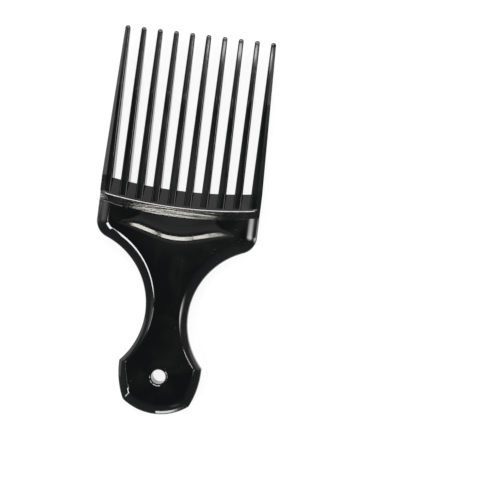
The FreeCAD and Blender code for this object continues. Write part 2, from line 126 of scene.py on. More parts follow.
# Sideways places of the two far lamps
FAR_LAMP_X = {"key_lamp": -0.553, "tip_lamp": -0.21}
# Shifts of the two small lamps, to the foot's left corner and to the bar's left end
NEAR_LAMP_SHIFTS = {
    "low_left": Vector((-0.0095, -0.0615, 0.008)),
    "left_spark": Vector((-0.0263, 0.0026, 0.007)),
}
# Soft patches of pale sky: azimuth and angle off the vertical in degrees, spread and strength
HAZE = (
    (160, 5, 0.002, 0.4),
    (124, 8, 0.006, 0.45),
    (104, 21.5, 0.01, 0.9),
    (109, 50, 0.06, 1.6),
    (178, 60, 0.05, 1.4),
    (286, 59, 0.008, 0.8),
    (-4, 50, 0.03, 13),
)
HAZE_FALL = 3.0
# Colours of the surroundings from the horizon up
SKY_LOW = (0.22, 0.225, 0.23, 1.0)
SKY_MIDDLE = (0.16, 0.17, 0.18, 1.0)
SKY_TOP = (0.03, 0.033, 0.036, 1.0)


def length(name, description, millimetres):
    return FloatProperty(name=name, description=description, default=millimetres * MM,
                         min=0.0, precision=5, unit="LENGTH")


def share(name, description, value):
    return FloatProperty(name=name, description=description, default=value, min=0.0, max=1.0,
                         subtype="FACTOR")


def angle(name, description, degrees):
    return FloatProperty(name=name, description=description, default=math.radians(degrees),
                         unit="ROTATION")


def colour(name, description, value):
    return FloatVectorProperty(name=name, description=description, default=value, size=3,
                               min=0.0, max=1.0, subtype="COLOR")


class PickHandleSizes(bpy.types.PropertyGroup):
    """Sizes of the handle: outline, sloping rim, dish and hanging hole"""
    width: length("Head width", "Width across the head", (HANDLE_HIGH.x - HANDLE_LOW.x) / MM)
    thickness: length("Thickness", "Thickness from front face to back",
                      (HANDLE_HIGH.z - HANDLE_LOW.z) / MM)
    edge: length("Edge thickness", "Thickness of the outermost edge", 2.4)
    foot_radius: length("Foot radius", "Radius of the foot's arc", 19.3)
    foot_width: length("Foot width", "Width between the foot's corners", 23.6)
    flank_radius: length("Flank radius", "Radius of the flanks above the foot", 30.0)
    end_width: length("End width", "Width between the corners above the hole", 29.3)
    corner_rise: length("Corner rise", "Height of those corners above the hole", 4.1)
    neck_width: length("Neck width", "Width at the narrowest place", 15.2)
    scallop_radius: length("Scallop radius", "Radius of the waist at each side", 26.4)
    shoulder_radius: length("Shoulder radius", "Radius of the shoulders of the head", 6.4)
    seam_rise: length("Seam rise", "Height of the seam above the hole", 56.3)
    seam_radius: length("Seam radius", "Radius of the bowed seam", 122.0)
    rim_foot: length("Rim at foot", "Width of the sloping rim along the foot", 4.2)
    rim_foot_corner: length("Rim at foot corner", "Inset of the raised face's foot corners", 2.6)
    rim_end_corner: length("Rim at end corner", "Inset of the raised face's upper corners", 2.7)
    rim_corner_rise: length("Rim corner rise", "Lift of the raised face's upper corners", 0.0)
    rim_neck: length("Rim at neck", "Width of the sloping rim at the neck", 3.2)
    rim_flare: length("Rim flare", "How far the rim widens along the waist", 2.5)
    rim_side: length("Rim at side", "Width of the sloping rim at the head's sides", 4.6)
    face_shoulder: length("Face shoulder radius", "Shoulder radius of the raised face", 3.2)
    crest_bevel: length("Crest bevel", "Rounding where the rim meets the raised face", 0.5)
    edge_bevel: length("Edge bevel", "Small rounding of every other edge", 0.2)
    rim_roll: share("Rim roll", "Share of the rim's fall taken by its rounded outer edge", 0.36)
    dish_radius: length("Dish radius", "Radius of the dish's lip at the middle", 26.0)
    dish_rise: length("Dish rise", "Reach of the dish below the seam", 9.2)
    dish_turn: angle("Dish turn", "Rise of the dish's lip to each side", 15.5)
    dish_slope: angle("Dish slope", "Steepest slope of the dish's wall", 6.85)
    dish_wall: length("Dish wall", "Width of the steepest part of the dish's wall", 1.0)
    dish_arm: length("Dish arm", "Length of each half of the lip's straight ends", 7.2)
    lip_radius: length("Lip radius", "Radius where the face rolls over into the dish", 11.0)
    cove_radius: length("Cove radius", "Radius at the foot of the dish's wall", 30.0)
    hole_round: length("Hole round", "Rounding of the hanging hole's rims", 0.9)
    flash: length("Parting ridge", "Height of the moulding's parting ridge", 0.03)
    flash_width: length("Parting ridge width", "Width of the moulding's parting ridge", 0.26)


class PickBarSizes(bpy.types.PropertyGroup):
    """Sizes of the tooth bar: leaning band, roof, notches and tongue"""
    band_height: length("Band height", "Height of the front band", 3.4)
    band_radius: length("Band radius", "Radius of the band's bowed top edge", 174.8)
    band_lean: angle("Band lean", "Backward lean of the front band", 6.0)
    band_bevel: length("Band bevel", "Rounding of the band's top edge", 0.34)
    seam_gap: length("Seam gap", "Open groove left along the seam", 0.06)
    seam_bevel: length("Seam bevel", "Rounding of the bar's edges", 0.22)
    ridge_rise: length("Ridge rise", "Height of the roof above the band", 6.2)
    rim_tooth: length("Rim at teeth", "Width of the rim beside the outermost teeth", 2.4)
    tongue_width: length("Tongue width", "Width of the tongue in the handle's slot", 40.0)
    tongue_thickness: length("Tongue thickness", "Thickness of the tongue", 3.0)
    tongue_depth: length("Tongue depth", "Depth of the tongue below the seam", 6.0)


class PickToothSizes(bpy.types.PropertyGroup):
    """Sizes of the teeth: root section, taper and domed tip"""
    inset: length("Outer tooth inset", "Distance of the outermost teeth from the head's sides", 2.49)
    width: length("Root width", "Width of a tooth at its root", 2.85)
    depth: length("Root depth", "Depth of a tooth at its root", 6.7)
    rounding: length("Edge round", "Rounding of the teeth's long edges", 0.75)
    bend: share("Bend place", "Share of the taper after which the faces fall faster", 0.62)
    bend_depth: length("Depth at bend", "Depth of a tooth where its faces bend", 4.95)
    tip_width: length("Tip width", "Width of a tooth below its tip", 1.8)
    tip_depth: length("Tip depth", "Depth of a tooth below its tip", 2.1)
    tip_wall: length("Tip wall", "Thickness of an outermost tooth's edge at its tip", 0.9)
    dome: length("Tip dome", "Height of the domed tip", 1.0)


class PickFinish(bpy.types.PropertyGroup):
    """Colours and surface of the moulded plastic"""
    black: colour("Plastic", "Colour of the moulded plastic", (0.0028, 0.0029, 0.0031))
    dust: colour("Dust", "Colour of dust and skin oil on the plastic", (0.10, 0.098, 0.092))
    gloss: share("Roughness", "Roughness of the clean moulded surface", 0.055)
    smudge: share("Smudges", "Roughness added where the plastic has been handled", 0.05)
    ripple: share("Ripple", "Strength of the moulding's faint waves", 0.10)
    scratch: share("Scratches", "Strength of fine scratches", 0.05)


class PickStage(bpy.types.PropertyGroup):
    """Floor, lights and camera"""
    floor: colour("Floor", "Colour of the floor", (0.93, 0.93, 0.93))
    glow: share("Floor glow", "Share of plain white in the floor as the camera sees it", 0.88)
    camera_distance: length("Camera distance", "Distance of the camera from the pick", 320.0)
    roll: angle("Camera roll", "Turn of the camera about its axis", 7.0)
    view_width: length("View width", "Width of the picture at the pick", 177.5)
    centre: FloatVectorProperty(name="View centre", description="Point in the middle of the picture",
                                default=(0.02654, -0.00616, 0.0042), size=3, subtype="TRANSLATION",
                                unit="LENGTH")


def deselect():
    if bpy.context.mode != "OBJECT":
        bpy.ops.object.mode_set(mode="OBJECT")
    bpy.ops.object.select_all(action="DESELECT")


def activate(piece):
    deselect()
    piece.select_set(True)
    bpy.context.view_layer.objects.active = piece


def edit(piece):
    activate(piece)
    bpy.ops.object.mode_set(mode="EDIT")


def new_piece(name):
    """Starts a piece as a small plane, in edit mode."""
    deselect()
    bpy.ops.mesh.primitive_plane_add(size=MM, location=(0, 0, MID))
    piece = bpy.context.object
    piece.name = name
    bpy.ops.object.mode_set(mode="EDIT")
    return piece


def first_point(name):
    """Starts a piece as one point in the middle plane, from a plane merged to its centre."""
    piece = new_piece(name)
    bpy.ops.mesh.select_mode(type="VERT")
    bpy.ops.mesh.select_all(action="SELECT")
    bpy.ops.mesh.merge(type="CENTER")
    return piece


def next_point(place):
    """Adds one more point to the piece in edit mode."""
    bpy.ops.mesh.primitive_plane_add(size=MM, location=place + Vector((0, 0, MID)))
    bpy.ops.mesh.merge(type="CENTER")


def pull(step):
    """Extends the selected point to a new one."""
    bpy.ops.mesh.extrude_vertices_move(TRANSFORM_OT_translate={"value": step})


def draw(start, runs, height):
    """Pulls the selected point along lines, and spins it along arcs where a run has a centre."""
    at = start
    for centre, end, steps in runs:
        if centre is None:
            step = (end - at) / steps
            for _ in range(steps):
                pull((step.x, step.y, 0))
        else:
            turn = (at - centre).angle_signed(end - centre)
            middle = (centre.x, centre.y, MID + height)
            bpy.ops.mesh.spin(steps=steps, angle=turn, center=middle, axis=(0, 0, 1))
        at = end


def pick(piece, kind, test):
    """Selects the points, edges or faces that pass a test, in edit mode."""
    bpy.ops.mesh.select_mode(type=kind)
    bpy.ops.mesh.select_all(action="DESELECT")
    mesh = bmesh.from_edit_mesh(piece.data)
    parts = {"VERT": mesh.verts, "EDGE": mesh.edges, "FACE": mesh.faces}[kind]
    chosen = [part for part in parts if test(part)]
    if not chosen:
        raise RuntimeError(f"nothing to select on {piece.name}")
    for part in chosen:
        part.select_set(True)
    mesh.select_flush_mode()
    bmesh.update_edit_mesh(piece.data)


def meets(a, b):
    return abs(a - b) < TOUCH


def level(part, height):
    """Whether a part lies at one height, in front of the middle plane or behind it."""
    return all(meets(abs(v.co.z), height) for v in part.verts)


def across(part, place):
    """Whether a part lies across a tooth at one place along it."""
    return all(meets(v.co.y, place) for v in part.verts)


def modify(piece, kind, **settings):
    """Adds a modifier and applies it."""
    activate(piece)
    modifier = piece.modifiers.new(kind.title(), kind)
    for setting, value in settings.items():
        setattr(modifier, setting, value)
    bpy.ops.object.modifier_apply(modifier=modifier.name)


def cut(piece, cutter, operation="DIFFERENCE"):
    """Cuts or joins one piece with another, which is used up."""
    modify(piece, "BOOLEAN", object=cutter, operation=operation, solver="EXACT")
    bpy.data.objects.remove(cutter)


def close_up(piece, distance=MERGE):
    """Merges the points that meet and turns the faces outwards."""
    edit(piece)
    bpy.ops.mesh.select_all(action="SELECT")
    bpy.ops.mesh.remove_doubles(threshold=distance)
    bpy.ops.mesh.normals_make_consistent(inside=False)
    bpy.ops.object.mode_set(mode="OBJECT")


def copy_for(piece, node):
    """Copies a piece for one node."""
    activate(piece)
    bpy.ops.object.duplicate(linked=False)
    copy = bpy.context.object
    copy.name = f"pick_{node}"
    return copy


def mirror_halves(piece):
    """Reflects a quarter to the left and to the back."""
    modify(piece, "MIRROR", use_axis=(True, False, True), merge_threshold=MERGE)
    close_up(piece)


def settle(piece, node, material):
    """Sets a finished piece at the origin, smooths it, hangs it on the root and hides the node it stands for.
    """
    activate(piece)
    bpy.ops.object.transform_apply(location=True, rotation=True, scale=True)
    bpy.ops.object.shade_smooth_by_angle(angle=SHARP_TURN)
    modify(piece, "WEIGHTED_NORMAL", mode="FACE_AREA", weight=80, keep_sharp=True)
    piece.data.materials.clear()
    piece.data.materials.append(material)
    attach(piece, "root")
    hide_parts(node)
    deselect()


def drop(radius, reach):
    """How far an arc has fallen away from its tangent at a distance along it."""
    return radius - math.sqrt(radius**2 - reach**2)


def handle_runs(s, side, neck, scallop, shoulder, foot, foot_radius, foot_corner, end_corner, end_rise):
    """Right half of a handle outline: foot, flank, waist, shoulder, side and seam.

    Each run has the centre of its arc, or none for a line, then its end and its steps.
    """
    start = Vector((0, HOLE.y - foot))
    foot_centre = start + Vector((0, foot_radius))
    foot_end = Vector((foot_corner, start.y + drop(foot_radius, foot_corner)))
    flank_end = Vector((end_corner, HOLE.y + end_rise))
    chord = flank_end - foot_end
    inward = Vector((-chord.y, chord.x)).normalized()
    flank_depth = math.sqrt(s.flank_radius**2 - (chord.length / 2)**2)
    flank_centre = (foot_end + flank_end) / 2 + inward * flank_depth
    waist_centre = Vector((neck + scallop, 0))
    waist_centre.y = flank_end.y + math.sqrt(scallop**2 - (waist_centre.x - flank_end.x)**2)
    shoulder_centre = Vector((side - shoulder, 0))
    reach = scallop + shoulder
    shoulder_centre.y = waist_centre.y + math.sqrt(reach**2 - (waist_centre.x - shoulder_centre.x)**2)
    waist_end = waist_centre.lerp(shoulder_centre, scallop / reach)
    shoulder_end = Vector((side, shoulder_centre.y))
    seam = HOLE.y + s.seam_rise
    seam_end = Vector((side, seam + drop(s.seam_radius, side)))
    return start, [
        (foot_centre, foot_end, 20),
        (flank_centre, flank_end, 14),
        (waist_centre, waist_end, 44),
        (shoulder_centre, shoulder_end, 18),
        (None, seam_end, 4),
        (Vector((0, seam + s.seam_radius)), Vector((0, seam)), 24),
    ]


def rim_runs(s, part):
    """Outline part of the way up the sloping rim, from the edge (0) to the raised face (1)."""
    foot = HOLE.y - HANDLE_LOW.y
    edge = (s.width / 2, s.neck_width / 2, s.scallop_radius, s.shoulder_radius, foot, s.foot_radius,
            s.foot_width / 2, s.end_width / 2, s.corner_rise)
    inset = (-s.rim_side, -s.rim_neck, s.rim_flare, s.face_shoulder - s.shoulder_radius, -s.rim_foot,
             -s.rim_foot, -s.rim_foot_corner, -s.rim_end_corner, s.rim_corner_rise)
    return handle_runs(s, *(size + part * change for size, change in zip(edge, inset)))


def handle_body(s):
    """Handle before its cuts: edge wall, sloping rim and raised face, with rounded crests."""
    face, edge = s.thickness / 2, s.edge / 2
    piece = first_point("pick_handle")
    rise = [(ROLL_WIDTH * (1 - math.cos(turn)), s.rim_roll * math.sin(turn)) for turn in ROLL_TURNS]
    rise += [(part, s.rim_roll + (1 - s.rim_roll) * up) for part, up in SWELL]
    parts, heights = zip(*((part, edge + (face - edge) * up) for part, up in rise))
    start, runs = rim_runs(s, 0.0)
    bpy.ops.transform.translate(value=(start.x, start.y, edge))
    draw(start, runs, edge)
    for part, low, high in zip(parts[1:], heights, heights[1:]):
        start, runs = rim_runs(s, part)
        next_point(Vector((start.x, start.y, high)))
        draw(start, runs, high)
        pick(piece, "EDGE", lambda e: level(e, low) or level(e, high))
        bpy.ops.mesh.bridge_edge_loops(type="SINGLE")
        bpy.ops.mesh.select_mode(type="VERT")
    pick(piece, "VERT", lambda v: meets(v.co.z, face))
    bpy.ops.mesh.edge_face_add()
    pick(piece, "EDGE", lambda e: e.is_boundary and level(e, edge))
    bpy.ops.mesh.extrude_region_move(TRANSFORM_OT_translate={"value": (0, 0, -edge)})
    mirror_halves(piece)

    edit(piece)
    pick(piece, "EDGE", lambda e: level(e, 0))
    bpy.ops.mesh.bevel(offset=s.flash_width / 2, segments=2, profile=0.5)
    pick(piece, "VERT", lambda v: meets(v.co.z, 0))
    bpy.ops.transform.shrink_fatten(value=s.flash)
    seam = HOLE.y + s.seam_rise
    end = HOLE.y + s.corner_rise + s.rim_corner_rise

    def is_crest(e):
        slopes = any(abs(f.normal.z) < FLAT for f in e.link_faces)
        along_seam = all(abs(f.normal.z) > FLAT or f.normal.y > SEAM_WALL for f in e.link_faces) \
            and all(v.co.y > seam - MM for v in e.verts)
        above_end = all(v.co.y > end - 0.1 * MM for v in e.verts)
        return level(e, face) and slopes and above_end and not along_seam

    pick(piece, "EDGE", is_crest)
    bpy.ops.mesh.bevel(offset=s.crest_bevel, segments=7, profile=0.5, clamp_overlap=True)
    modify(piece, "BEVEL", width=s.edge_bevel, segments=4, limit_method="ANGLE",
           angle_limit=HANDLE_BEVEL_TURN)
    return piece


def dish_cutter(s, front):
    """Cutter for a dish: flat floor, cove, wall and rolled lip, swept round a bent line that fades out."""
    face = s.thickness / 2
    slope = s.dish_slope
    down, level_run = Vector((0, -math.sin(slope), -math.cos(slope))), math.cos(slope)
    depth = (s.lip_radius + s.cove_radius) * (1 - level_run) + s.dish_wall * math.sin(slope)
    run_out = (s.lip_radius + s.cove_radius) * math.sin(slope) + s.dish_wall * level_run
    lip = HOLE.y + s.seam_rise - s.dish_rise
    far = HOLE.y + s.seam_rise + OVERRUN
    piece = first_point("dish_cutter")
    bpy.ops.transform.translate(value=(0, far, face - depth))
    at = Vector((0, lip + run_out, MID + face - depth))
    pull((0, at.y - far, 0))
    middle = at + Vector((0, 0, s.cove_radius))
    bpy.ops.mesh.spin(steps=12, angle=slope, center=middle, axis=(1, 0, 0))
    at = middle + down * s.cove_radius
    wall = Vector((0, -level_run, math.sin(slope))) * s.dish_wall
    pull(wall)
    at += wall
    lip_centre = at + down * s.lip_radius
    bpy.ops.mesh.spin(steps=10, angle=slope * LIP_SHARE, center=lip_centre, axis=(-1, 0, 0))
    pull((0, -MM, 0.02 * MM))
    pull((0, 0, OVERRUN))
    last = next(v for v in bmesh.from_edit_mesh(piece.data).verts if v.select)
    pull((0, far - last.co.y, 0))
    bpy.ops.mesh.select_all(action="SELECT")
    bpy.ops.mesh.edge_face_add()
    centre = Vector((0, lip + s.dish_radius, MID))
    bpy.ops.mesh.spin(steps=24, angle=-s.dish_turn, center=centre, axis=(0, 0, 1))
    arm = Vector((math.cos(s.dish_turn), math.sin(s.dish_turn), 0)) * s.dish_arm
    bpy.ops.mesh.extrude_region_move(TRANSFORM_OT_translate={"value": arm})
    turned = Matrix.Rotation(s.dish_turn, 3, "Z").transposed()
    lip_end = centre + Vector((0, 0, face)) + turned.transposed() @ Vector((0, -s.dish_radius, 0)) + arm
    for fade in DISH_FADES:
        bpy.ops.mesh.extrude_region_move(TRANSFORM_OT_translate={"value": arm / 3})
        lip_end += arm / 3
        bpy.ops.transform.resize(value=(1, fade, fade), orient_type="GLOBAL", orient_matrix=turned,
                                 orient_matrix_type="GLOBAL", center_override=lip_end)
    pick(piece, "FACE", lambda f: all(meets(v.co.x, 0) for v in f.verts))
    bpy.ops.mesh.delete(type="ONLY_FACE")
    modify(piece, "MIRROR", use_axis=(True, False, False), merge_threshold=MERGE)
    if not front:
        activate(piece)
        bpy.ops.transform.mirror(constraint_axis=(False, False, True))
        bpy.ops.object.transform_apply(location=False, rotation=False, scale=True)
    close_up(piece)
    return piece


def box_cutter(name, low, high):
    """Block between two corners, given from the middle plane."""
    deselect()
    middle = (low + high) / 2 + Vector((0, 0, MID))
    bpy.ops.mesh.primitive_cube_add(size=1, location=middle, scale=high - low)
    piece = bpy.context.object
    piece.name = name
    bpy.ops.object.transform_apply(location=True, rotation=True, scale=True)
    return piece


class PICK_OT_handle(bpy.types.Operator):
    """Models the handle with its rim, dishes, hanging hole and slot"""
    bl_idname = "pick.handle"
    bl_label = "Handle"

    def execute(self, context):
        s, bar = context.scene.pick_handle, context.scene.pick_bar
        face = s.thickness / 2
        piece = handle_body(s)
        cut(piece, dish_cutter(s, True))
        cut(piece, dish_cutter(s, False))
        seam = HOLE.y + s.seam_rise
        half = Vector((bar.tongue_width / 2 + TONGUE_CLEARANCE, 0, bar.tongue_thickness / 2 + TONGUE_CLEARANCE))
        low = Vector((-half.x, seam - bar.tongue_depth - TONGUE_CLEARANCE, -half.z))
        cut(piece, box_cutter("tongue_slot", low, Vector((half.x, seam + 5 * MM, half.z))))
        deselect()
        hole_radius = hole_mount["dims"]["r_mm"] * MM
        bpy.ops.mesh.primitive_cylinder_add(vertices=96, radius=hole_radius, depth=2 * s.thickness,
                                            location=HOLE)
        cut(piece, bpy.context.object)
        edit(piece)

        def is_hole_rim(e):
            return level(e, face) and all((v.co.xy - HOLE.xy).length < 1.2 * hole_radius for v in e.verts)

        pick(piece, "EDGE", is_hole_rim)
        bpy.ops.mesh.bevel(offset=s.hole_round, segments=8, profile=0.5)
        bpy.ops.object.mode_set(mode="OBJECT")
        settle(piece, "handle", plastic("handle_plastic", (1.0, 1.0, 1.0)))
        return {"FINISHED"}


def bar_runs(s, bar, side_low, side_high, top, top_radius):
    """Right half of the bar from the front: seam, side, and the arc above."""
    seam = HOLE.y + s.seam_rise + bar.seam_gap
    start = Vector((0, seam))
    low_end = Vector((side_low, seam + drop(s.seam_radius, side_low)))
    high_end = Vector((side_high, top + drop(top_radius, side_high)))
    return start, [
        (Vector((0, seam + s.seam_radius)), low_end, 28),
        (None, high_end, 4),
        (Vector((0, top + top_radius)), Vector((0, top)), 28),
    ]


def band_top(s, bar):
    """Height of the band's top edge at the middle of the head."""
    return HOLE.y + s.seam_rise + bar.band_height


def bar_body(s, bar):
    """Bar before its notches: leaning band, roof to the ridge, and sloping ends."""
    face, edge = s.thickness / 2, s.edge / 2
    half = s.width / 2
    top = band_top(s, bar)
    seam = HOLE.y + s.seam_rise
    piece = first_point("pick_tooth_bar")
    start, runs = bar_runs(s, bar, half, half, top + bar.ridge_rise, bar.band_radius - bar.ridge_rise)
    bpy.ops.transform.translate(value=(start.x, start.y, edge))
    draw(start, runs, edge)
    side_low, side_high = half - s.rim_side * BAR_SIDE_INSET, half - bar.rim_tooth * BAR_TOOTH_INSET
    start, runs = bar_runs(s, bar, side_low, side_high, top, bar.band_radius)
    next_point(Vector((start.x, start.y, face)))
    draw(start, runs, face)
    pick(piece, "VERT", lambda v: meets(v.co.z, face))
    bpy.ops.transform.rotate(value=bar.band_lean, orient_axis="X", orient_type="GLOBAL",
                             center_override=(0, seam, MID + face))
    bpy.ops.mesh.select_all(action="SELECT")
    bpy.ops.mesh.bridge_edge_loops(type="SINGLE")
    pick(piece, "VERT", lambda v: v.co.z > edge + MERGE)
    bpy.ops.mesh.edge_face_add()
    pick(piece, "EDGE", lambda e: e.is_boundary and level(e, edge))
    bpy.ops.mesh.extrude_region_move(TRANSFORM_OT_translate={"value": (0, 0, -edge)})
    mirror_halves(piece)
    edit(piece)

    def is_band_top(e):
        above_edge = all(abs(v.co.z) > edge + MERGE for v in e.verts)
        by_band = any(abs(f.normal.z) > FLAT for f in e.link_faces)
        by_roof = any(ROOF_LEAST < f.normal.y < SEAM_WALL and abs(f.normal.z) < FLAT for f in e.link_faces)
        return above_edge and by_band and by_roof

    pick(piece, "EDGE", is_band_top)
    bpy.ops.mesh.bevel(offset=bar.band_bevel, segments=6, profile=0.5, clamp_overlap=True)
    modify(piece, "BEVEL", width=bar.seam_bevel, segments=4, limit_method="ANGLE",
           angle_limit=BAR_BEVEL_TURN)
    return piece


def tooth_place(s, tooth, number):
    """Distance of a tooth from the middle of the head, counted from the left."""
    pitch = (s.width - 2 * tooth.inset) / (len(TEETH) - 1)
    return pitch * (number - (len(TEETH) - 1) / 2)


def tooth_floor(s, bar, tooth, x):
    """Height of a notch's floor, where the roof has fallen back to a tooth's front face."""
    face, edge = s.thickness / 2, s.edge / 2
    band_depth = face - BAND_SET_BACK
    lift = bar.ridge_rise * (band_depth - tooth.depth / 2) / (band_depth - edge)
    return band_top(s, bar) + drop(bar.band_radius, x) + lift


def tooth_ridge(s, bar, x):
    """Height of the roof's ridge beside a tooth."""
    radius = bar.band_radius - bar.ridge_rise
    return band_top(s, bar) + bar.ridge_rise + drop(radius, x)


class PICK_OT_tooth_bar(bpy.types.Operator):
    """Models the tooth bar with its leaning band, roof, notches and tongue"""
    bl_idname = "pick.tooth_bar"
    bl_label = "Tooth bar"

    def execute(self, context):
        s, bar, tooth = context.scene.pick_handle, context.scene.pick_bar, context.scene.pick_teeth
        piece = bar_body(s, bar)
        seam = HOLE.y + s.seam_rise
        half = Vector((bar.tongue_width / 2, 0, bar.tongue_thickness / 2))
        tongue = box_cutter("tongue", Vector((-half.x, seam - bar.tongue_depth, -half.z)),
                            Vector((half.x, band_top(s, bar) - MM, half.z)))
        cut(piece, tongue, "UNION")
        for number in range(len(TEETH)):
            x = tooth_place(s, tooth, number)
            left, right = x - tooth.width / 2, x + tooth.width / 2
            if number == 0:
                left = -s.width
            if number == len(TEETH) - 1:
                right = s.width
            low = Vector((left, tooth_floor(s, bar, tooth, x), -s.thickness))
            cut(piece, box_cutter("notch", low, Vector((right, TIP, s.thickness))))
        settle(piece, "tooth_bar", plastic("bar_plastic", BAR_STRETCH, wave=3.0, fine=0.6))
        return {"FINISHED"}


def section(width, depth, rounding, height, x):
    """Adds a rounded oblong loop across a tooth to the piece in edit mode."""
    bpy.ops.mesh.select_mode(type="VERT")
    bpy.ops.mesh.primitive_plane_add(size=1, location=(x, height, MID), rotation=(math.pi / 2, 0, 0))
    bpy.ops.transform.resize(value=(width, 1, depth), center_override=(x, height, MID))
    bpy.ops.mesh.bevel(offset=rounding, segments=7, affect="VERTICES")
    bpy.ops.mesh.delete(type="ONLY_FACE")


def dome(height, wide, x):
    """Closes the selected loop with a dome in steps, each smaller than the last."""
    steps = 7
    rise, size = 0.0, 1.0
    for step in range(1, steps + 1):
        turn = math.pi / 2 * step / (steps + 0.6)
        next_rise, next_size = math.sin(turn), math.cos(turn)
        bpy.ops.mesh.extrude_edges_move(TRANSFORM_OT_translate={"value": (0, (next_rise - rise) * wide, 0)})
        scale = next_size / size
        bpy.ops.transform.resize(value=(scale, 1, scale), center_override=(x, height, MID))
        rise, size = next_rise, next_size
    bpy.ops.mesh.edge_face_add()


def between(low, high):
    """Two loops near the ends of a straight run of a tooth, which keep its faces flat."""
    return [tuple(a + (b - a) * part for a, b in zip(low, high)) for part in NEAR_ENDS]


def inner_tooth(s, bar, tooth):
    """One inner tooth on the middle line, to be copied to each place, with its loops' heights."""
    root, ridge = tooth_floor(s, bar, tooth, 0), tooth_ridge(s, bar, 0)
    end = TIP - tooth.dome
    bend = ridge + (end - ridge) * tooth.bend
    bend_width = tooth.width + (tooth.tip_width - tooth.width) * tooth.bend
    loops = [(tooth.width, tooth.depth, root), (tooth.width, tooth.depth, ridge)]
    loops += between((tooth.width, tooth.depth, ridge), (bend_width, tooth.bend_depth, bend))
    loops.append((bend_width, tooth.bend_depth, bend))
    loops += between((bend_width, tooth.bend_depth, bend), (tooth.tip_width, tooth.tip_depth, end))
    loops.append((tooth.tip_width, tooth.tip_depth, end))
    piece = new_piece("pick_tooth")
    bpy.ops.mesh.delete(type="VERT")
    for wide, deep, height in loops:
        section(wide, deep, min(tooth.rounding, TOOTH_ROUND_LIMIT * wide), height, 0)
    return piece, [height for _, _, height in loops]


def bridge_up(piece, heights):
    """Joins a row of loops, keeps the bend sharp and closes the root."""
    for low, high in zip(heights, heights[1:]):
        pick(piece, "EDGE", lambda e: across(e, low) or across(e, high))
        bpy.ops.mesh.bridge_edge_loops(type="SINGLE")
    pick(piece, "EDGE", lambda e: across(e, heights[BEND_LOOP]))
    bpy.ops.mesh.mark_sharp()
    pick(piece, "VERT", lambda v: meets(v.co.y, heights[0]))
    bpy.ops.mesh.edge_face_add()


